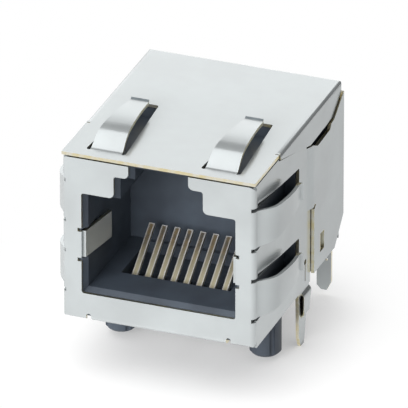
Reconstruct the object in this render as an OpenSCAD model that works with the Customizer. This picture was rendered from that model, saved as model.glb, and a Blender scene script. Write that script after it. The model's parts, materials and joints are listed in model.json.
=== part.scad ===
// Shielded board jack for an eight-way modular plug.
// A moulded housing carries eight sprung contacts in an insert. Two folded sheets
// close round it: the front shield with its side springs, and the rear shield with
// its roof springs. The port faces -Y and +Z is up from the board.
// Origin: on the board's surface, midway between the two locating posts.

/* [Shield] */
// Width across the front plate
shield_w = 15.15; // [14.9:0.05:17]
// Height from the lower edge to the roof's top face
shield_h = 13.7; // [13.4:0.1:15]
// Depth from the front face to the back face
shield_d = 18.3; // [18:0.1:21]
// Thickness of the sheet metal
sheet = 0.25; // [0.2:0.01:0.28]
// Outer radius of a bend
bend_r = 0.42; // [0.35:0.01:0.6]
// Gap along the seams between the two sheets
seam = 0.12; // [0.06:0.01:0.2]
// How far the rear shield's roof flaps stand out past the front plate's sides
flap_flare = 0.14; // [0.1:0.01:0.2]
// Clearance between a sheet and what lies inside it
fit_gap = 0.05; // [0.02:0.01:0.1]
// Height of the shield's lower edge above the board
stand_off = 0.5; // [0.3:0.05:1]

/* [Port] */
// Width of the plug opening in the front plate
port_w = 12.1; // [11.8:0.1:12.4]
// Height of the opening's lower edge above the shield's lower edge
port_sill = 2.25; // [2:0.05:2.6]
// Height of the plug opening
port_h = 8.25; // [7.8:0.05:8.4]
// Width of the keyway above the plug opening
key_w = 7; // [6.6:0.1:7.4]
// Height of the keyway
key_h = 1.8; // [1.5:0.05:1.9]
// Width of the slot for the plug's latch
latch_w = 4.7; // [4.2:0.1:5.2]
// Depth from the front face to the port's rear wall
port_depth = 9.4; // [9:0.1:10.4]
// How far the moulded port lies inside the opening in the sheet
port_inset = 0.28; // [0.15:0.01:0.4]
// Depth of the lead-in round the moulded port
lead_in = 0.7; // [0.4:0.05:1]

/* [Springs] */
// Bow of a spring above its sheet
bow = 1.15; // [0.8:0.05:1.4]
// Length of a spring from root to tip
spring_len = 6.95; // [6:0.05:7.6]
// Room behind a roof spring's tip in its window
roof_spring_gap = 1.3; // [1:0.05:1.8]
// Room behind a side spring's tip in its window
side_spring_gap = 1.95; // [1.4:0.05:2.2]
// Width of a spring at its tip
spring_tip_w = 1.4; // [1:0.05:1.8]
// Width of a roof spring at its root
roof_spring_w = 2.5; // [2:0.1:3]
// Distance of a roof spring's middle from the centre plane
roof_spring_x = 4.5; // [4.2:0.1:4.8]
// Distance of a roof spring's root behind the front face
roof_spring_y = 1.2; // [0.8:0.1:1.8]
// Width of a side spring at its root
side_spring_w = 3; // [2.6:0.1:3.2]
// Distance of a side spring's root behind the front face
side_spring_y = 0.45; // [0.4:0.05:0.8]
// Height of the lower side spring's middle
side_spring_z = 3.95; // [3.7:0.05:4.15]
// Pitch of the two springs on one side
side_spring_pitch = 5.8; // [5.6:0.05:6]
// Width of the slits on both sides of a spring's root
relief = 0.3; // [0.2:0.02:0.4]

/* [Contacts] */
// Pitch of the contacts
pitch = 1.016; // [0.95:0.002:1.05]
// Width of a contact
contact_w = 0.44; // [0.3:0.02:0.5]
// Thickness of a contact
contact_t = 0.3; // [0.2:0.02:0.36]
// Angle at which a contact rises into the port
contact_rise = 35; // [30:1:38]
// Distance from the front face to the front row of solder tails
tail_row_y = 14.15; // [13.8:0.05:14.6]
// Distance between the two rows of solder tails
tail_row_pitch = 2.54; // [2.3:0.02:2.7]

/* [Board side] */
// Distance between the two locating posts
post_pitch = 11.43; // [11:0.01:11.6]
// Diameter of a locating post
post_d = 2.4; // [2:0.05:2.5]
// Distance from the front face to the posts' middle
post_y = 7.3; // [6.9:0.1:7.6]
// How far the posts and the rear shield's tails reach below the board's surface
post_len = 3.5; // [2.8:0.1:3.8]
// How far the contacts' and the front shield's tails reach below the board's surface
lead_len = 4; // [3:0.1:4.6]

/* [Hidden] */
$fn = 64;
CONTACTS = 8;

// Small overshoot that lets a cut pass clean through
eps = 0.2;
half_w = shield_w / 2;
// Inner face of the shield's side
side_in = half_w - sheet;
// Outer layer: where the front shield's rear part laps over the rear shield's wing
lap = sheet + fit_gap / 2;
ground = -stand_off - lead_len;
post_tip = -stand_off - post_len;

// Plug port, from the shield's opening
port_top = port_sill + port_h;
key_top = port_top + key_h;
roof_in = shield_h - sheet;
plate_top = roof_in - seam;
edge_r = 0.2;
key_r = 0.4;

// Housing
body_w = shield_w - 2 * sheet - 2 * fit_gap;
body_front = sheet + fit_gap;
body_back = shield_d - sheet - fit_gap;
body_top = roof_in - fit_gap;
body_bottom = sheet + fit_gap;
spring_room = 0.85;

// Posts, the pads round them and the rear pads that stand the body off the board
post_chamfer = 0.2;
flute_d = 0.42;
pad_rim = 0.3;
rear_pad_x = 5;
rear_pad_d = 1.8;

// Springs
side_spring_heights = [side_spring_z, side_spring_z + side_spring_pitch];
side_window_w = 1.6;
roof_window_w = 1.95;
side_window_len = spring_len + side_spring_gap;
roof_window_len = spring_len + roof_spring_gap;
// How far the strip of a spring runs into its sheet, and the slits past its root
spring_root = 0.03;
slit_back = 0.2;
lip_r = 0.8;
lip_h = 0.55;

// Contact path, seen from the side
turn_r = 0.6;
turn_y = 4.7;
run_z = 0.75;
foot_r = 0.45;
free_y = 8.15;

// Carrier
carrier_w = CONTACTS * pitch + 0.9;
carrier_front = 3.6;
carrier_top = 1.55;
carrier_bottom = -0.3;
carrier_back = body_back - 0.4;
moulding_gap = 0.03;

// Seam between the roof's side flaps and the side panels, as [y, z] below the roof
flap_start = 5.1;
flap_low_y = 11.4;
flap_back_y = 16.1;
flap_drop = 2.2;
flap_edge = [[flap_start, shield_h - 0.4], [flap_low_y, shield_h - flap_drop],
    [flap_back_y, shield_h - flap_drop + 0.1], [shield_d - 0.1, shield_h - 0.7]];
pry_slot = [[flap_low_y + 0.25, 0], [12.6, -0.45], [15.2, -0.35], [15.5, 0.02]];

// Lap joint in the side panels
lap_start = 10.85;
lap_end = 11.85;
lap_slit_y = 11.75;
lap_slit_top = 6.2;
slit_w = 0.12;
lap_relief = 0.9;
rear_bottom = 0.65;
rear_chamfer = 2;

// Grounding tabs inside the port
tab_z = 6.22;
tab_w = 2.15;
tab_len = 4;
tab_lean = 0.6;
tab_slit = 0.3;
tab_room = 0.12;

// Flap under the front plate, between two notches
notch_x = 5.5;
notch_w = 0.4;
notch_h = 0.6;
bottom_flap_len = 2.6;
corner_r = 0.5;

// Shield tails and the catch that locks the two sheets together
tail_y = 10.2;
tail_split = 9.85;
press_top = -0.1;
press_bottom = -2.2;
tail_hole = [10.7, 2.1];
tail_hole_r = 0.22;
rear_tail_x = 6.37;
rear_tail_w = 1.15;
wing_front = 12.7;
wing_top = 10;
catch_y = 13.15;
catch_z = 2.55;
catch_w = 1.5;
catch_len = 0.85;

function bezier(a, b, c, d, n) = [for (i = [0 : n]) let (t = i / n, s = 1 - t)
    s * s * s * a + 3 * s * s * t * b + 3 * s * t * t * c + t * t * t * d];
function tail_of(list) = [for (i = [1 : len(list) - 1]) list[i]];
function unit(v) = v / norm(v);
// Direction of a path at one of its points
function heading(path, i) = unit(path[min(i + 1, len(path) - 1)] - path[max(i - 1, 0)]);
function left_of(v) = [-v[1], v[0]];
// Outline of a strip that reaches from one offset to the other beside a path
function strip(path, a, b) = concat(
    [for (i = [0 : len(path) - 1]) path[i] + a * left_of(heading(path, i))],
    [for (i = [len(path) - 1 : -1 : 0]) path[i] + b * left_of(heading(path, i))]);

// A spring's outer face, as [distance from root, height]
spring_path = concat(
    [[-spring_root, 0]],
    bezier([0, 0], [0.5, 0.12], [0.75, 0.85] * bow, [2, 0.93] * bow, 10),
    tail_of(bezier([2, 0.93] * bow, [3.2, 1] * bow, [4.4, 1.02] * bow,
        [spring_len - 0.4, 0.8 * bow], 10)),
    [[spring_len - 0.15, 0.82 * bow], [spring_len, 0.92 * bow]]);

// Spring strip, root at the origin, running along +X of its plane, bowed towards +Y
module spring(root_w) {
    intersection() {
        translate([0, 0, -root_w / 2]) linear_extrude(root_w)
            polygon(strip(spring_path, 0, -sheet));
        rotate([90, 0, 0]) translate([0, 0, -2 * bow]) linear_extrude(4 * bow)
            polygon([[-spring_root, -root_w / 2], [0, -root_w / 2],
                [spring_len, -spring_tip_w / 2], [spring_len, spring_tip_w / 2],
                [0, root_w / 2], [-spring_root, root_w / 2]]);
    }
}

// Window round a spring: narrow slits at the root, a rounded end past the tip
module spring_window(root_w, end_w, len) {
    difference() {
        offset(r = edge_r) offset(delta = -edge_r)
            polygon([[-slit_back, -root_w / 2 - relief], [-slit_back, root_w / 2 + relief],
                [len, end_w / 2], [len, -end_w / 2]]);
        // what is left of the sheet at the root
        translate([-slit_back - eps, -root_w / 2]) square([slit_back + 2 * eps, root_w]);
    }
}

module both_sides() {
    children();
    mirror([1, 0, 0]) children();
}

// Lays a drawing of the side, in [y, z], on the centre plane and cuts it right
// across from x0 to x1
module across(x0, x1) {
    translate([x0, 0, 0]) rotate([90, 0, 90]) linear_extrude(x1 - x0) children();
}

// Lays a drawing of the front, in [x, z], and cuts it from y0 back to y1
module through(y0, y1) {
    translate([0, y1, 0]) rotate([90, 0, 0]) linear_extrude(y1 - y0) children();
}

// Puts the jack's own frame, from its front face and lower edge, over the origin
module seated() {
    translate([0, -post_y, stand_off]) children();
}

module centred(w, z0, z1) {
    translate([-w / 2, z0]) square([w, z1 - z0]);
}

// Opening in the front plate
module port_shape(top) {
    offset(r = -key_r) offset(delta = key_r)
    offset(r = edge_r) offset(delta = -edge_r) {
        centred(port_w, port_sill, port_top);
        centred(key_w, port_top - 1, key_top);
        centred(latch_w, key_top - 1, top);
    }
}

// ---- Housing ----

module port_cavity() {
    inner = 2 * port_inset;
    latch_top = body_top - 0.45;
    through(body_front - eps, port_depth) {
        centred(port_w - inner, port_sill + port_inset, port_top - port_inset);
        centred(key_w - inner, port_top - 1, key_top - port_inset);
        centred(latch_w - inner, key_top - 1, latch_top);
    }
    // lead-in round the mouth
    for (s = [[port_w, port_sill, port_top], [key_w, port_top - 1, key_top],
        [latch_w, key_top - 1, latch_top + port_inset]]) {
        hull() {
            through(body_front - 0.02, body_front) centred(s[0] + 0.1, s[1] - 0.05, s[2] + 0.05);
            through(lead_in, lead_in + 0.02)
                centred(s[0] - inner, s[1] + port_inset, s[2] - port_inset);
        }
    }
}

// Well in the port's floor, down to the carrier, that the contacts spring up from
module contact_well() {
    well_w = CONTACTS * pitch + 0.5;
    well_front = turn_y - turn_r - contact_t / 2 - 0.35;
    well_back = port_depth - 0.4;
    across(-well_w / 2, well_w / 2)
        translate([well_front, carrier_top - 0.5])
            square([well_back - well_front, port_sill + port_inset + eps - carrier_top + 0.5]);
}

// Locating post with a flute between each two of its four ribs
module post() {
    length = post_len + stand_off + body_bottom;
    translate([0, 0, post_tip]) difference() {
        union() {
            translate([0, 0, post_chamfer]) cylinder(d = post_d, h = length - post_chamfer);
            cylinder(d1 = post_d - 2 * post_chamfer, d2 = post_d, h = post_chamfer);
        }
        for (a = [45 : 90 : 315]) rotate(a) translate([post_d / 2, 0, -eps])
            cylinder(d = flute_d, h = post_len);
    }
}

module housing() {
    color("#383f49") seated() difference() {
        union() {
            difference() {
                through(body_front, body_back) centred(body_w, body_bottom, body_top);
                port_cavity();
                contact_well();
            }
            both_sides() {
                translate([post_pitch / 2, post_y, 0]) {
                    post();
                    translate([0, 0, -stand_off])
                        cylinder(d = post_d + 2 * pad_rim, h = stand_off + body_bottom);
                }
                translate([rear_pad_x, body_back - rear_pad_d, -stand_off])
                    cylinder(d = rear_pad_d, h = stand_off + body_bottom);
            }
        }
        // pocket for the carrier, open below
        translate([-carrier_w / 2 - moulding_gap, carrier_front - moulding_gap, -stand_off - eps])
            cube([carrier_w + 2 * moulding_gap, carrier_back - carrier_front + 2 * moulding_gap,
                stand_off + eps + carrier_top + moulding_gap]);
        both_sides() {
            // room for the side springs and for the lips over them
            for (z = side_spring_heights)
                translate([body_w / 2 - spring_room, side_spring_y - fit_gap,
                    z - side_spring_w / 2 - relief])
                    cube([spring_room + eps, side_window_len, side_spring_w + 2 * relief + lip_h]);
            // room for the roof springs
            translate([roof_spring_x - roof_spring_w / 2 - relief, roof_spring_y - slit_back,
                body_top - spring_room])
                cube([roof_spring_w + 2 * relief, roof_window_len + slit_back, spring_room + eps]);
            // room for the grounding tab beside the port
            translate([port_w / 2 - 1, body_front - eps, tab_z - tab_w / 2 - tab_room])
                cube([1 + tab_room, tab_len * 0.7, tab_w + 2 * tab_room]);
        }
    }
}

// ---- Contacts ----

function contact_x(i) = (i - (CONTACTS + 1) / 2) * pitch;
turn_centre = [turn_y, run_z + turn_r];
turn_exit = turn_centre + turn_r * [cos(90 + contact_rise), sin(90 + contact_rise)];

// From the solder tail up, forward under the floor, round and back up into the port
function contact_path(row_y) = concat(
    [[row_y, ground], [row_y, run_z - foot_r]],
    [for (a = [15 : 15 : 90]) [row_y - foot_r + foot_r * cos(a), run_z - foot_r + foot_r * sin(a)]],
    [for (a = [270 : -12 : 90 + contact_rise]) turn_centre + turn_r * [cos(a), sin(a)]],
    [turn_exit, [free_y, turn_exit[1] + (free_y - turn_exit[0]) * tan(contact_rise)]]);

module contact_body(i, grow = 0) {
    row = i % 2 == 0 ? tail_row_y : tail_row_y + tail_row_pitch;
    half = contact_w / 2 + grow;
    translate([contact_x(i), 0, 0]) across(-half, half)
        polygon(strip(contact_path(row), -contact_t / 2 - grow, contact_t / 2 + grow));
}

module contact(i) {
    color("#e0cf9a") seated() contact_body(i);
}

module contact_carrier() {
    color("#30363f") seated() difference() {
        translate([-carrier_w / 2, carrier_front, carrier_bottom])
            cube([carrier_w, carrier_back - carrier_front, carrier_top - carrier_bottom]);
        for (i = [1 : CONTACTS]) {
            contact_body(i, 0.01);
            // open channel over the turn and under the sprung part
            translate([contact_x(i) - contact_w / 2 - 0.08, carrier_front - eps, 0.4])
                cube([contact_w + 0.16, turn_y - carrier_front + 1.6, carrier_top]);
        }
    }
}

// ---- Front shield ----

// Front plate and the front part of both sides, seen from above
module tub_plan() {
    inner_r = bend_r - sheet;
    difference() {
        union() {
            translate([-half_w, bend_r]) square([shield_w, lap_slit_y - bend_r]);
            translate([-half_w + bend_r, 0]) square([shield_w - 2 * bend_r, bend_r + 1]);
            for (s = [-1, 1]) translate([s * (half_w - bend_r), bend_r]) circle(bend_r);
        }
        translate([-side_in, bend_r]) square([2 * side_in, shield_d]);
        translate([-half_w + bend_r, sheet]) square([shield_w - 2 * bend_r, 2]);
        for (s = [-1, 1]) translate([s * (half_w - bend_r), bend_r]) circle(inner_r);
    }
}

// Rear part of a side, one sheet further out, seen from above
module lap_plan() {
    steps = 8;
    path = concat([[side_in, lap_start - 0.5]],
        [for (k = [0 : steps]) [side_in + lap * (1 - cos(180 * k / steps)) / 2,
            lap_start + (lap_end - lap_start) * k / steps]],
        [[side_in + lap, shield_d - 0.1]]);
    polygon(strip(path, 0, -sheet));
}

// Upper edge of the side panels, in [y, z]
function side_top() = concat(
    [[-eps, plate_top], [flap_start - seam, plate_top], [flap_start - seam, flap_edge[0][1] - seam]],
    [for (p = pry_slot) [p[0], flap_edge[1][1] - seam + p[1]]],
    [flap_edge[2] - [0, seam], flap_edge[3] - [0, seam * 1.4]]);

// One half of the folded sheet: half of the front plate, and its side
module side_panel() {
    // front part, which ends above the slit where the lap begins
    intersection() {
        linear_extrude(shield_h) tub_plan();
        across(0, half_w + eps) difference() {
            polygon(concat([[-eps, bend_r], [bend_r * 0.3, bend_r * 0.3], [bend_r, 0],
                [lap_slit_y, 0], [lap_slit_y, lap_slit_top], [shield_d, lap_slit_top]],
                [for (k = [len(side_top()) - 1 : -1 : 0]) side_top()[k]]));
            translate([lap_start + 0.05, lap_slit_top]) square([shield_d, shield_h]);
        }
    }
    // rear part, joined above the slit
    intersection() {
        linear_extrude(shield_h) lap_plan();
        across(0, half_w + 1) difference() {
            polygon(concat([[lap_start - 0.4, lap_slit_top]],
                [[lap_start - 0.4, flap_edge[1][1] - seam]],
                [for (k = [3 : len(side_top()) - 1]) side_top()[k]],
                [[shield_d - 0.1, rear_bottom + rear_chamfer],
                [shield_d - rear_chamfer, rear_bottom],
                [lap_slit_y + slit_w, rear_bottom], [lap_slit_y + slit_w, lap_slit_top]]));
            translate([catch_y, catch_z - catch_w / 2]) square([catch_len, catch_w]);
            // slanted relief over the slit
            translate([lap_slit_y, lap_slit_top - 0.15]) rotate(35)
                square([lap_relief, 2 * slit_w], center = true);
        }
    }
}

// Height of a side window's upper edge over its spring's middle, at depth y
function window_edge(y) = side_spring_w / 2 + relief - (y - side_spring_y + slit_back)
    * (side_spring_w / 2 + relief - side_window_w / 2) / (side_window_len + slit_back);

// Crease over a side spring; the sheet between it and the window is pressed in
lip_front = side_spring_y + 0.15;
lip_back = side_spring_y + spring_len - lip_h;
lip_crease = [[lip_front, side_spring_w / 2 + relief + lip_h],
    [lip_back, window_edge(lip_back) + 0.01]];

module lip_outline() {
    polygon([lip_crease[0], lip_crease[1], [lip_crease[1][0], window_edge(lip_crease[1][0])],
        [lip_crease[0][0], window_edge(lip_crease[0][0])]]);
}

module lip() {
    run = lip_crease[1] - lip_crease[0];
    intersection() {
        across(half_w - lip_r, half_w + eps) lip_outline();
        translate([half_w - lip_r, lip_crease[0][0], lip_crease[0][1]])
            rotate([atan2(run[1], run[0]), 0, 0]) rotate([-90, 0, 0])
                translate([0, 0, -1]) difference() {
                    cylinder(r = lip_r, h = norm(run) + 2);
                    translate([0, 0, -eps]) cylinder(r = lip_r - sheet, h = norm(run) + 3);
                }
    }
}

// Outline of a side tail, in [y, z]
module tail_outline() {
    polygon([[tail_y - 1, 0.5], [tail_y - 0.9, -0.3], [tail_y - 0.78, ground + 0.9],
        [tail_y - 0.4, ground], [tail_y + 0.25, ground], [tail_y + 0.42, ground + 0.4],
        [tail_y + 0.95, -1.1], [lap_slit_y - 0.02, 0.5]]);
}

// A side tail, split near its front edge, with the part behind the split pressed out
module side_tail() {
    mid = half_w - sheet / 2;
    out = mid + sheet;
    bend = 0.4;
    difference() {
        across(side_in, half_w) tail_outline();
        across(side_in - eps, half_w + eps) translate([tail_split, press_bottom])
            square([2, press_top - press_bottom]);
    }
    intersection() {
        across(side_in - eps, half_w + 2 * sheet) difference() {
            tail_outline();
            translate([tail_split - 2, ground]) square([2, lead_len + 2]);
        }
        translate([0, tail_y + 2, 0]) rotate([90, 0, 0]) linear_extrude(4)
            polygon(strip(concat([[mid, press_top + 0.2]],
                bezier([mid, press_top], [mid, press_top - bend / 2],
                    [out, press_top - bend / 2], [out, press_top - bend], 6),
                bezier([out, press_bottom + bend], [out, press_bottom + bend / 2],
                    [mid, press_bottom + bend / 2], [mid, press_bottom], 6),
                [[mid, press_bottom - 0.2]]), -sheet / 2, sheet / 2));
    }
}

// Tab folded back into the port from the opening's side edge
module grounding_tab() {
    turn = 0.2;
    centre = [port_w / 2 + 0.06, sheet / 2 + turn];
    path = concat([[centre[0] + 0.4, sheet / 2]],
        [for (a = [270 : -15 : 180]) centre + turn * [cos(a), sin(a)]],
        [[centre[0] - turn - tab_lean, tab_len]]);
    translate([0, 0, tab_z - tab_w / 2]) linear_extrude(tab_w)
        polygon(strip(path, -sheet / 2, sheet / 2));
}

module right_side() {
    difference() {
        side_panel();
        for (z = side_spring_heights) {
            across(side_in - 0.05, half_w + 0.05) translate([side_spring_y, z])
                spring_window(side_spring_w, side_window_w, side_window_len);
            across(side_in - 0.05, half_w + 0.05) translate([0, z]) lip_outline();
            // relief slots round the bend at the spring's root
            for (s = [-1, 1])
                translate([half_w - relief, -eps, z + s * (side_spring_w + relief) / 2 - relief / 2])
                    cube([1, side_spring_y + eps, relief]);
        }
        // hole and slit where the tail's split begins
        across(side_in - eps, half_w + eps) {
            translate([tail_hole[0], tail_hole[1]]) circle(tail_hole_r);
            translate([tail_hole[0] - slit_w / 2, press_top]) square([slit_w, tail_hole[1] - press_top]);
        }
        // grounding tab: slits beside it, and the sheet that its fold takes up
        translate([port_w / 2 - eps, -eps, tab_z - tab_w / 2 - tab_slit])
            cube([eps + tab_slit, 1, tab_slit]);
        translate([port_w / 2 - eps, -eps, tab_z + tab_w / 2]) cube([eps + tab_slit, 1, tab_slit]);
        translate([port_w / 2 - eps, -eps, tab_z - tab_w / 2 - 0.01])
            cube([eps + 0.06, sheet + 2 * eps, tab_w + 0.02]);
    }
    for (z = side_spring_heights) {
        translate([half_w, side_spring_y, z]) mirror([1, 0, 0]) rotate(90) spring(side_spring_w);
        translate([0, 0, z]) lip();
    }
    side_tail();
    grounding_tab();
}

// Folded edge under the front plate, between the two notches
module bottom_flap() {
    w = 2 * notch_x - notch_w;
    across(-w / 2, w / 2) {
        intersection() {
            difference() {
                translate([bend_r, bend_r]) circle(bend_r);
                translate([bend_r, bend_r]) circle(bend_r - sheet);
            }
            square(bend_r);
        }
        translate([bend_r, 0]) square([bottom_flap_len - bend_r, sheet]);
    }
}

module front_shield() {
    fold_w = 2 * notch_x - notch_w;
    color("#d4d9da") seated() {
        difference() {
            both_sides() difference() {
                right_side();
                // port opening, cut in the front plate alone
                through(-eps, sheet + 0.02) port_shape(shield_h);
                // notch at the end of the folded edge, and the plate's rounded corners
                through(-eps, sheet + eps) {
                    translate([notch_x, notch_h - notch_w / 2]) circle(notch_w / 2);
                    translate([notch_x - notch_w / 2, -eps])
                        square([notch_w, notch_h - notch_w / 2 + eps]);
                }
                through(-eps, bend_r) difference() {
                    translate([half_w - corner_r, -eps]) square([corner_r + eps, shield_h]);
                    translate([half_w - 2 * corner_r, corner_r])
                        square([2 * corner_r, plate_top - 2 * corner_r]);
                    for (z = [corner_r, plate_top - corner_r])
                        translate([half_w - corner_r, z]) circle(corner_r);
                }
            }
            translate([-fold_w / 2 - 0.01, -eps, -eps])
                cube([fold_w + 0.02, sheet + 2 * eps, eps + bend_r]);
        }
        bottom_flap();
    }
}

// ---- Rear shield ----

// Rectangle on the first axis with its two far corners rounded
module arch(w, h, r) {
    translate([-w / 2, -1]) square([w, h - r + 1]);
    translate([-w / 2 + r, -1]) square([w - 2 * r, h + 1]);
    for (s = [-1, 1]) translate([s * (w / 2 - r), h - r]) circle(r);
}

// Shell of a block rounded along its roof's sides and back and up its rear corners
module rounded_shell(w) {
    difference() {
        rounded_block(w, 0);
        rounded_block(w, sheet);
    }
}

module rounded_block(w, inset) {
    r = bend_r - inset;
    intersection() {
        through(-1, shield_d + 1) arch(w - 2 * inset, shield_h - inset, r);
        translate([0, 0, -1]) linear_extrude(shield_h + 2) arch(w - 2 * inset, shield_d - inset, r);
        across(-w, w) arch(2 * (shield_d - inset), shield_h - inset, r);
    }
}

// Roof, its flaps and the bend down to the back, in [y, z]
module cover_outline() {
    top = shield_h + eps;
    back = shield_d + eps;
    polygon(concat([[flap_start, top]], flap_edge, [[back, flap_edge[3][1]], [back, top]]));
    translate([flap_start, shield_h - bend_r]) square([back - flap_start, bend_r + eps]);
}

// Back and the wings that reach forward under the side panels, in [y, z]
module wing_outline() {
    translate([shield_d - bend_r, rear_bottom])
        square([bend_r + eps, flap_edge[3][1] + 0.1 - rear_bottom]);
    difference() {
        translate([wing_front, rear_bottom + 0.3])
            square([shield_d + eps - wing_front, wing_top - rear_bottom - 0.3]);
        translate([catch_y, catch_z - catch_w / 2]) square([catch_len, catch_w]);
    }
}

// Catch bent out of a wing, through the window of the panel that laps over it
module catch_tab() {
    mid = half_w - sheet / 2;
    root = catch_y + catch_len;
    translate([0, 0, catch_z - catch_w / 2 + 0.1]) linear_extrude(catch_w - 0.2)
        polygon(strip([[mid, root + 0.2], [mid, root], [mid + 0.06, root - 0.15],
            [mid + sheet, catch_y + 0.12]], -sheet / 2, sheet / 2));
}

module rear_tail() {
    chamfer = 0.35;
    lo = rear_tail_x - rear_tail_w / 2;
    hi = rear_tail_x + rear_tail_w / 2;
    through(shield_d - sheet, shield_d) difference() {
        polygon([[lo, post_tip + chamfer], [lo + chamfer, post_tip], [hi - chamfer, post_tip],
            [hi, post_tip + 2 * chamfer], [hi, rear_bottom + 0.1], [lo, rear_bottom + 0.1]]);
        translate([rear_tail_x + 0.2, -1.4]) circle(tail_hole_r / 2);
    }
}

module rear_shield() {
    color("#dde3e4") seated() {
        difference() {
            union() {
                translate([-half_w, 0, roof_in]) cube([shield_w, flap_start + eps, sheet]);
                intersection() {
                    rounded_shell(shield_w + 2 * flap_flare);
                    across(-shield_w, shield_w) cover_outline();
                }
                intersection() {
                    rounded_shell(shield_w);
                    across(-shield_w, shield_w) wing_outline();
                }
            }
            for (s = [-1, 1]) {
                translate([s * roof_spring_x, roof_spring_y, roof_in - 0.05]) linear_extrude(sheet + 0.1)
                    rotate(90) spring_window(roof_spring_w, roof_window_w, roof_window_len);
                // relief where the straight edge ends and the flap's bend begins
                translate([s * half_w - relief, flap_start - 0.1, roof_in - eps])
                    cube([2 * relief, slit_w, sheet + 2 * eps]);
            }
        }
        for (s = [-1, 1]) translate([s * roof_spring_x, roof_spring_y, shield_h])
            rotate([90, 0, 90]) spring(roof_spring_w);
        both_sides() {
            catch_tab();
            rear_tail();
        }
    }
}

housing();
contact_carrier();
for (i = [1 : CONTACTS])
    contact(i);
front_shield();
rear_shield();
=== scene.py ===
import json
import math

import bmesh
import bpy
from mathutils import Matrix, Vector
from mathutils.bvhtree import BVHTree

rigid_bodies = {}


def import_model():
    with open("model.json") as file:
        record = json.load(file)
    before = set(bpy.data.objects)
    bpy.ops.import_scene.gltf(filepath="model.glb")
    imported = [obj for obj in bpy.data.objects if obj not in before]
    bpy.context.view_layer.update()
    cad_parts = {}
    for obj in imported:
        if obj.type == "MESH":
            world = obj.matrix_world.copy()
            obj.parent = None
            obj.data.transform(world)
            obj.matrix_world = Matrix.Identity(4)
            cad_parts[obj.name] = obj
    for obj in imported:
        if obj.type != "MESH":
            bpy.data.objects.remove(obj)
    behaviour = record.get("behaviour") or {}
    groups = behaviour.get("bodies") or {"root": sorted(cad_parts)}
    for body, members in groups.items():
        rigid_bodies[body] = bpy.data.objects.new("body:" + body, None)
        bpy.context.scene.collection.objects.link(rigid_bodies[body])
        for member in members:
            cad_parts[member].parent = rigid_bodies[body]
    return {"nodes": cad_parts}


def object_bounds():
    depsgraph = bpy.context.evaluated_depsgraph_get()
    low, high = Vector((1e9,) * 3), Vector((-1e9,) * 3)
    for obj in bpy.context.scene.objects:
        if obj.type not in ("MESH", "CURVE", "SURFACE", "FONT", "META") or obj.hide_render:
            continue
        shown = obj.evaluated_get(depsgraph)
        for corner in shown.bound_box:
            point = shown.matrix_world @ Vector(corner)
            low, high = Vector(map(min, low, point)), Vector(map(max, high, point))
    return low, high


# The file that Blender opens with holds a cube, a lamp and a camera.
for item in list(bpy.data.objects):
    bpy.data.objects.remove(item)
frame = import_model()
CAD_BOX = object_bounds()

MM = 0.001
NODES = frame["nodes"]
SCENE = bpy.context.scene
WHITE = (1, 1, 1, 1)


# ---------------------------------------------------------------- sizes

CONTACTS = 8
# Thickness of both shields' sheet, and the least depth of metal behind a cut edge, as a
# multiple of it
SHEET = 0.25 * MM
EDGE_DEPTH = 1.35
# Corners nearer than this are one corner, and edges that turn less than this are bends or
# curves, which are shaded smooth
JOIN_WITHIN = 0.0005 * MM
SMOOTH_BELOW = math.radians(32)

# Where the tools drew the plating over the sheet's cut edges, in mm from the origin
TAB_FOLD_X = (5.6, 6.5)
TAB_FOLD_Z = (5.7, 7.75)
TAB_FOLD_FRONT = -6.7
SIDE_PANEL_X = 6.9
CORNER_RELIEF_BACK = -6.4
SIDE_WINDOW_BACK = -0.5

# Depths between which the roof springs' tips are curled, and a height just below them, in mm
CURL_Y = (0.66, 0.9)
CURL_Z = 14.9

# Depths between which the contacts' painted light fades: drawn bright in front of the first, in
# their own tone behind the second
LIT_PAINT_FULL_Y, LIT_PAINT_GONE_Y = -2.6 * MM, -0.2 * MM

# Camera: its direction in degrees, distance, the width that it sees and the point it looks at
AZIMUTH, ELEVATION = 20.66, 27.16
DISTANCE = 0.9
SPAN = 30.2 * MM
AIM = Vector((0.238, 1.598, 6.978)) * MM

# Lamps: place, aim, width and height, and the glow of the panel's face
LAMPS = {
    "key": ((-0.12, -0.5, 0.21), (0, 0, 0), (0.35, 0.22), 8.9),
    "overhead": ((-0.42, -0.13, 0.45), (-0.42, -0.13, 0), (0.84, 0.64), 1.12),
    "port_fill": ((0.17, -0.46, 0.12), (0, 0, 0.01), (0.2, 0.2), 3.0),
}

# Glow of the room, its white wall and the table as metal and plastic mirror them,
# and glow of all of it as soft light
ROOM = 0.06
WALL = 1.34
TABLE = 0.77
FILL = 0.22

# Paper under the object: its radius and middle, the share of the radius at which it starts
# to fade, the glow that brings it to white, what is left of that glow close under the object,
# which leaves a painted shadow there, and how far that reaches
PAPER_RADIUS = 21 * MM
PAPER_MIDDLE_Y = 2 * MM
FADE_START = 0.42
PAPER_GLOW = 0.72
GLOW_LEFT = 0.48
GLOW_REACH = 6.5 * MM


# ---------------------------------------------------------------- colour and nodes

def linear(code):
    """An sRGB hex colour as linear RGBA."""
    parts = [int(code[i:i + 2], 16) / 255 for i in (1, 3, 5)]
    return tuple(c / 12.92 if c <= 0.04045 else ((c + 0.055) / 1.055) ** 2.4
                 for c in parts) + (1.0,)


def add(tree, kind, links=None, **settings):
    """Adds a node: settings are its properties, links its sockets' values or sources."""
    node = tree.nodes.new(kind)
    for name, value in settings.items():
        setattr(node, name, value)
    for name, value in (links or {}).items():
        socket = node.inputs[name]
        if isinstance(value, bpy.types.NodeSocket):
            tree.links.new(value, socket)
        else:
            socket.default_value = value
    return node


def new_material(name):
    """An empty node material, its tree, and the place on the object in metres."""
    material = bpy.data.materials.new(name)
    material.use_nodes = True
    tree = material.node_tree
    tree.nodes.clear()
    return material, tree, add(tree, "ShaderNodeTexCoord").outputs["Object"]


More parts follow.
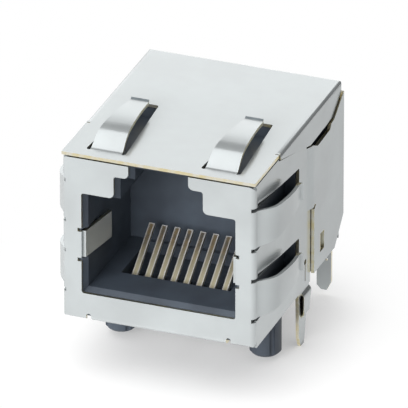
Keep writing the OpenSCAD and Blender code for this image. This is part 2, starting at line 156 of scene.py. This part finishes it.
def mottled(tree, place, size, dark, light):
    """Two shades in cloudy patches of the given size, and the share of the light one."""
    cloud = add(tree, "ShaderNodeTexNoise", {"Vector": place, "Scale": 1 / size, "Detail": 3.0})
    # The noise is mostly between these two values, so both shades show in full.
    share = add(tree, "ShaderNodeMapRange", {"Value": cloud.outputs["Fac"],
                                             "From Min": 0.35, "From Max": 0.65})
    colour = add(tree, "ShaderNodeMix", {0: share.outputs["Result"], 6: linear(dark),
                                         7: linear(light)}, data_type="RGBA")
    return colour.outputs[2], share.outputs["Result"]


def grained(tree, place, size, depth, strength):
    """Normal of a surface with grain of the given size and depth."""
    grain = add(tree, "ShaderNodeTexNoise", {"Vector": place, "Scale": 1 / size, "Detail": 2.0})
    bump = add(tree, "ShaderNodeBump", {"Height": grain.outputs["Fac"], "Strength": strength,
                                        "Distance": depth})
    return bump.outputs["Normal"]


def edge_mask(tree, width):
    """1 along a solid's sharp edges, falling to 0 within the given distance from them."""
    rounded = add(tree, "ShaderNodeBevel", {"Radius": width})
    plain = add(tree, "ShaderNodeNewGeometry")
    same = add(tree, "ShaderNodeVectorMath", {0: rounded.outputs["Normal"],
                                              1: plain.outputs["Normal"]},
               operation="DOT_PRODUCT")
    # The two normals are 4 degrees apart where the mask starts, and 16 where it is full.
    mask = add(tree, "ShaderNodeMapRange", {"Value": same.outputs["Value"],
                                            "From Min": 0.998, "From Max": 0.96})
    return mask.outputs["Result"]


# ---------------------------------------------------------------- the jack's materials

def plated_sheet():
    """Brass strip with a matt tin plating: silver-white, with a soft sheen, and painted shade in
    its folds and gaps.
    """
    material, tree, place = new_material("matt_tin_plated_brass")
    colour, share = mottled(tree, place, 4 * MM, "#d5dadb", "#dee4e5")
    # Painted shade: the plating is drawn darker in folds and narrow gaps, where little light
    # reaches.
    open_sky = add(tree, "ShaderNodeAmbientOcclusion", {"Distance": 0.5 * MM}, samples=8)
    unshaded = add(tree, "ShaderNodeMapRange", {"Value": open_sky.outputs["AO"],
                                             "From Min": 0.35, "From Max": 0.85})
    colour = add(tree, "ShaderNodeMix", {0: unshaded.outputs["Result"], 6: linear("#8d9191"),
                                         7: colour}, data_type="RGBA")
    rough = add(tree, "ShaderNodeMapRange", {"Value": share, "To Min": 0.16, "To Max": 0.22})
    # Faint marks run up the walls. The real ones are under 0.05 mm wide, and are drawn
    # four times as coarse so that they show.
    upward = add(tree, "ShaderNodeMapping", {"Vector": place, "Scale": (1.0, 1.0, 0.05)})
    marks = grained(tree, upward.outputs["Vector"], 0.2 * MM, 0.01 * MM, 0.25)
    # The plating scatters about as much light as it mirrors, so it is half metallic.
    shader = add(tree, "ShaderNodeBsdfPrincipled",
                 {"Base Color": colour.outputs[2], "Metallic": 0.5,
                  "Roughness": rough.outputs["Result"], "Normal": marks})
    add(tree, "ShaderNodeOutputMaterial", {"Surface": shader.outputs["BSDF"]})
    return material


def sheared_brass():
    """Brass laid bare where the strip was sheared: pale yellow, smeared with plating."""
    material, tree, place = new_material("sheared_brass_edge")
    colour, _ = mottled(tree, place, 0.5 * MM, "#ebdfb4", "#efebdc")
    shader = add(tree, "ShaderNodeBsdfPrincipled",
                 {"Base Color": colour, "Metallic": 1.0, "Roughness": 0.33})
    add(tree, "ShaderNodeOutputMaterial", {"Surface": shader.outputs["BSDF"]})
    return material


def dark_painted_tip():
    """Tin plating drawn dull and dark on top of the roof springs' curled tips: painted shade
    there.
    """
    material, tree, place = new_material("tin_plating_with_painted_shade")
    colour, _ = mottled(tree, place, 0.8 * MM, "#6a7276", "#7c8488")
    shader = add(tree, "ShaderNodeBsdfPrincipled",
                 {"Base Color": colour, "Metallic": 0.3, "Roughness": 0.5})
    add(tree, "ShaderNodeOutputMaterial", {"Surface": shader.outputs["BSDF"]})
    return material


def moulded_polyester(name, dark, light, roughness):
    """Glass-filled polyester from an eroded mould: dark blue-grey, satin, finely textured."""
    material, tree, place = new_material(name)
    colour, _ = mottled(tree, place, 2.5 * MM, dark, light)
    # The mould's texture is about 0.02 mm, and is drawn three times as coarse.
    texture = grained(tree, place, 0.06 * MM, 0.008 * MM, 0.25)
    shader = add(tree, "ShaderNodeBsdfPrincipled",
                 {"Base Color": colour, "Roughness": roughness, "IOR": 1.55, "Normal": texture})
    add(tree, "ShaderNodeOutputMaterial", {"Surface": shader.outputs["BSDF"]})
    return material


def gold_flashed_bronze():
    """Bronze with a flash of gold in patches, with a painted highlight along edges and painted
    light towards the front, low down.
    """
    material, tree, place = new_material("gold_flashed_bronze")
    flat, _ = mottled(tree, place, 1.2 * MM, "#615e58", "#968360")
    # Painted light: the contacts are drawn bright towards the front, where they are low, and in
    # their own patchy tone further in.
    depth = add(tree, "ShaderNodeSeparateXYZ", {0: place})
    past_lit_paint = add(tree, "ShaderNodeMapRange", {"Value": depth.outputs["Y"],
                                            "From Min": LIT_PAINT_FULL_Y, "From Max": LIT_PAINT_GONE_Y})
    flat = add(tree, "ShaderNodeMix", {0: past_lit_paint.outputs["Result"], 6: linear("#d3caaa"), 7: flat},
               data_type="RGBA")
    # Painted highlight: the contacts are drawn white along their edges.
    colour = add(tree, "ShaderNodeMix", {0: edge_mask(tree, 0.18 * MM), 6: flat.outputs[2],
                                         7: linear("#ffffff")}, data_type="RGBA")
    shader = add(tree, "ShaderNodeBsdfPrincipled",
                 {"Base Color": colour.outputs[2], "Metallic": 0.35, "Roughness": 0.4})
    add(tree, "ShaderNodeOutputMaterial", {"Surface": shader.outputs["BSDF"]})
    return material


# ---------------------------------------------------------------- studio

def ray_kinds(tree):
    """Whether a ray comes from the camera, and whether metal or glass sends it, as 0 or 1."""
    path = add(tree, "ShaderNodeLightPath")
    sent_on = add(tree, "ShaderNodeMath", {0: path.outputs["Is Glossy Ray"],
                                           1: path.outputs["Is Transmission Ray"]},
                  operation="MAXIMUM")
    return path.outputs["Is Camera Ray"], sent_on.outputs[0]


def strength_by_ray(tree, mirrored):
    """1 to the camera, the given strength in metal or glass, FILL for all other light."""
    from_camera, sent_on = ray_kinds(tree)
    other = add(tree, "ShaderNodeMapRange", {"Value": sent_on, "To Min": FILL,
                                             "To Max": mirrored})
    strength = add(tree, "ShaderNodeMath", {0: from_camera, 1: other.outputs["Result"]},
                   operation="MAXIMUM")
    return strength.outputs[0]


def white_paper():
    """White paper that keeps the object's shadow, with a painted shadow close under the object,
    and fades into the white round it.
    """
    material, tree, place = new_material("white_paper")
    from_camera, sent_on = ray_kinds(tree)
    seen = add(tree, "ShaderNodeMath", {0: from_camera, 1: sent_on}, operation="MAXIMUM")
    # Painted shadow: the glow is cut where the paper is closed in. The open share is about 0.3
    # close under the object, and 1 where nothing is over the paper.
    open_sky = add(tree, "ShaderNodeAmbientOcclusion", {"Distance": GLOW_REACH}, samples=16)
    glow = add(tree, "ShaderNodeMapRange",
               {"Value": open_sky.outputs["AO"], "From Min": 0.3, "From Max": 1.0,
                "To Min": GLOW_LEFT * PAPER_GLOW, "To Max": PAPER_GLOW})
    seen_glow = add(tree, "ShaderNodeMath", {0: seen.outputs[0], 1: glow.outputs["Result"]},
                    operation="MULTIPLY")
    # The paper is a light grey of its own, and its glow brings it to white.
    lit = add(tree, "ShaderNodeBsdfDiffuse", {"Color": linear("#c0c0c0")})
    lift = add(tree, "ShaderNodeEmission", {"Color": WHITE, "Strength": seen_glow.outputs[0]})
    paper = add(tree, "ShaderNodeAddShader", {0: lit.outputs[0], 1: lift.outputs[0]})
    rim = add(tree, "ShaderNodeEmission", {"Color": WHITE,
                                           "Strength": strength_by_ray(tree, TABLE)})
    away = add(tree, "ShaderNodeVectorMath", {0: place}, operation="LENGTH")
    fade = add(tree, "ShaderNodeMapRange",
               {"Value": away.outputs["Value"], "From Min": FADE_START * PAPER_RADIUS,
                "From Max": PAPER_RADIUS}, interpolation_type="SMOOTHSTEP")
    sheet = add(tree, "ShaderNodeMixShader", {0: fade.outputs["Result"], 1: paper.outputs[0],
                                              2: rim.outputs[0]})
    add(tree, "ShaderNodeOutputMaterial", {"Surface": sheet.outputs[0]})
    return material


def lay_floor(height):
    """A round sheet of paper under the object."""
    mesh = bpy.data.meshes.new("floor")
    sheet = bmesh.new()
    bmesh.ops.create_circle(sheet, cap_ends=True, segments=96, radius=PAPER_RADIUS)
    sheet.to_mesh(mesh)
    sheet.free()
    mesh.materials.append(white_paper())
    disc = bpy.data.objects.new("floor", mesh)
    disc.location = (0, PAPER_MIDDLE_Y, height)
    SCENE.collection.objects.link(disc)


def set_up_room():
    """A dim room on a pale table, with a low white wall behind on the left."""
    world = bpy.data.worlds.new("studio")
    world.use_nodes = True
    tree = world.node_tree
    tree.nodes.clear()
    place = add(tree, "ShaderNodeTexCoord")
    way = add(tree, "ShaderNodeSeparateXYZ", {0: place.outputs["Generated"]})
    # These are sines of angles: the wall fades out from 28 to 35 degrees up, and from the
    # middle to 20 degrees on the right, and the table's far edge is on the horizon.
    below_top = add(tree, "ShaderNodeMapRange",
                    {"Value": way.outputs["Z"], "From Min": 0.47, "From Max": 0.58,
                     "To Min": 1.0, "To Max": 0.0}, interpolation_type="SMOOTHSTEP")
    on_left = add(tree, "ShaderNodeMapRange",
                  {"Value": way.outputs["X"], "From Min": 0.0, "From Max": 0.35,
                   "To Min": 1.0, "To Max": 0.0}, interpolation_type="SMOOTHSTEP")
    on_wall = add(tree, "ShaderNodeMath", {0: below_top.outputs["Result"],
                                           1: on_left.outputs["Result"]}, operation="MULTIPLY")
    above = add(tree, "ShaderNodeMapRange", {"Value": on_wall.outputs[0], "To Min": ROOM,
                                             "To Max": WALL})
    around = add(tree, "ShaderNodeMapRange",
                 {"Value": way.outputs["Z"], "From Min": -0.08, "From Max": 0.02,
                  "To Min": TABLE, "To Max": above.outputs["Result"]})
    light = add(tree, "ShaderNodeBackground",
                {"Color": WHITE, "Strength": strength_by_ray(tree, around.outputs["Result"])})
    add(tree, "ShaderNodeOutputWorld", {"Surface": light.outputs[0]})
    SCENE.world = world


def hang_panel(name, place, aim, size, glow):
    """A lamp like a soft box: a panel of the given size that glows evenly, facing a point."""
    data = bpy.data.lights.new(name, "AREA")
    data.shape = "RECTANGLE"
    data.size, data.size_y = size
    data.energy = glow * math.pi * data.size * data.size_y
    lamp = bpy.data.objects.new(name, data)
    SCENE.collection.objects.link(lamp)
    lamp.location = place
    lamp.rotation_euler = (Vector(place) - Vector(aim)).to_track_quat("Z", "Y").to_euler()


def place_camera():
    """A camera far off with a long lens, so that parallel edges stay nearly parallel."""
    turn, tilt = math.radians(AZIMUTH), math.radians(ELEVATION)
    back = Vector((math.sin(turn) * math.cos(tilt), -math.cos(turn) * math.cos(tilt),
                   math.sin(tilt)))
    data = bpy.data.cameras.new("camera")
    data.sensor_width = 36
    data.lens = data.sensor_width * DISTANCE / SPAN
    data.clip_start, data.clip_end = 0.01, 10
    camera = bpy.data.objects.new("camera", data)
    SCENE.collection.objects.link(camera)
    camera.location = AIM + DISTANCE * back
    camera.rotation_euler = back.to_track_quat("Z", "Y").to_euler()
    SCENE.camera = camera


# ---------------------------------------------------------------- the jack

def dress(node, *materials):
    """Gives a node its materials, in the order of their slots."""
    piece = NODES[node]
    piece.data.materials.clear()
    for material in materials:
        piece.data.materials.append(material)
    return piece


def shade(piece):
    """Joins the faces' shared corners and shades them smooth, apart from sharp edges."""
    mesh = piece.data
    if "custom_normal" in mesh.attributes:
        mesh.attributes.remove(mesh.attributes["custom_normal"])
    group = bpy.data.node_groups.new("soft_shading", "GeometryNodeTree")
    group.interface.new_socket("Geometry", in_out="INPUT", socket_type="NodeSocketGeometry")
    group.interface.new_socket("Geometry", in_out="OUTPUT", socket_type="NodeSocketGeometry")
    start = add(group, "NodeGroupInput")
    joined = add(group, "GeometryNodeMergeByDistance",
                 {"Geometry": start.outputs[0], "Distance": JOIN_WITHIN})
    turn = add(group, "GeometryNodeInputMeshEdgeAngle")
    soft = add(group, "FunctionNodeCompare", {0: turn.outputs[0], 1: SMOOTH_BELOW},
               operation="LESS_THAN")
    faces = add(group, "GeometryNodeSetShadeSmooth",
                {"Geometry": joined.outputs[0], "Shade Smooth": True}, domain="FACE")
    edges = add(group, "GeometryNodeSetShadeSmooth",
                {"Geometry": faces.outputs[0], "Shade Smooth": soft.outputs[0]}, domain="EDGE")
    add(group, "NodeGroupOutput", {0: edges.outputs[0]})
    piece.modifiers.new("soft_shading", "NODES").node_group = group


def plated_over(face):
    """Whether a cut edge is covered: on a tab's fold, a corner relief or a side window."""
    x, y, z = abs(face.center.x) / MM, face.center.y / MM, face.center.z / MM
    level = abs(face.normal.z)
    tab_fold = (TAB_FOLD_X[0] < x < TAB_FOLD_X[1] and y < TAB_FOLD_FRONT
                and TAB_FOLD_Z[0] < z < TAB_FOLD_Z[1] and level < 0.5)
    corner_relief = x > SIDE_PANEL_X and y < CORNER_RELIEF_BACK
    side_window = x > SIDE_PANEL_X and y < SIDE_WINDOW_BACK and level > 0.3
    return tab_fold or corner_relief or side_window


def bare_edges(mesh):
    """Indices of the sheet's bare cut edges: the faces with more metal behind them than the
    sheet is thick."""
    solid = BVHTree.FromPolygons([v.co for v in mesh.vertices],
                                 [p.vertices for p in mesh.polygons])
    found = []
    for face in mesh.polygons:
        # The ray starts just under the face, so that it doesn't meet the face itself.
        inside = face.center - face.normal * 0.02 * SHEET
        depth = solid.ray_cast(inside, -face.normal, 100 * SHEET)[3]
        if not plated_over(face) and (depth is None or depth > EDGE_DEPTH * SHEET):
            found.append(face.index)
    return found


def curled_tips(mesh):
    """Indices of the faces on top of the roof springs' curled tips."""
    return [face.index for face in mesh.polygons
            if CURL_Y[0] < face.center.y / MM < CURL_Y[1]
            and face.center.z / MM > CURL_Z and face.normal.z > 0.5]


plate, brass, tip_shade = plated_sheet(), sheared_brass(), dark_painted_tip()
for name in ("front_shield", "rear_shield"):
    shield = dress(name, plate, brass, tip_shade)
    # Slot 1 takes the bare brass of the cut edges, and slot 2 the painted shade on the curled
    # tips.
    for slot, indices in ((1, bare_edges(shield.data)), (2, curled_tips(shield.data))):
        for index in indices:
            shield.data.polygons[index].material_index = slot
    shade(shield)

shade(dress("housing", moulded_polyester("blue_grey_polyester", "#464e59", "#515b67", 0.5)))
shade(dress("contact_carrier",
            moulded_polyester("dark_polyester", "#464e59", "#4f5965", 0.55)))
bronze = gold_flashed_bronze()
for number in range(1, CONTACTS + 1):
    shade(dress(f"contact_{number}", bronze))

lay_floor(CAD_BOX[0].z)
place_camera()
for name, panel in LAMPS.items():
    hang_panel(name, *panel)
set_up_room()

SCENE.view_settings.view_transform = "Standard"
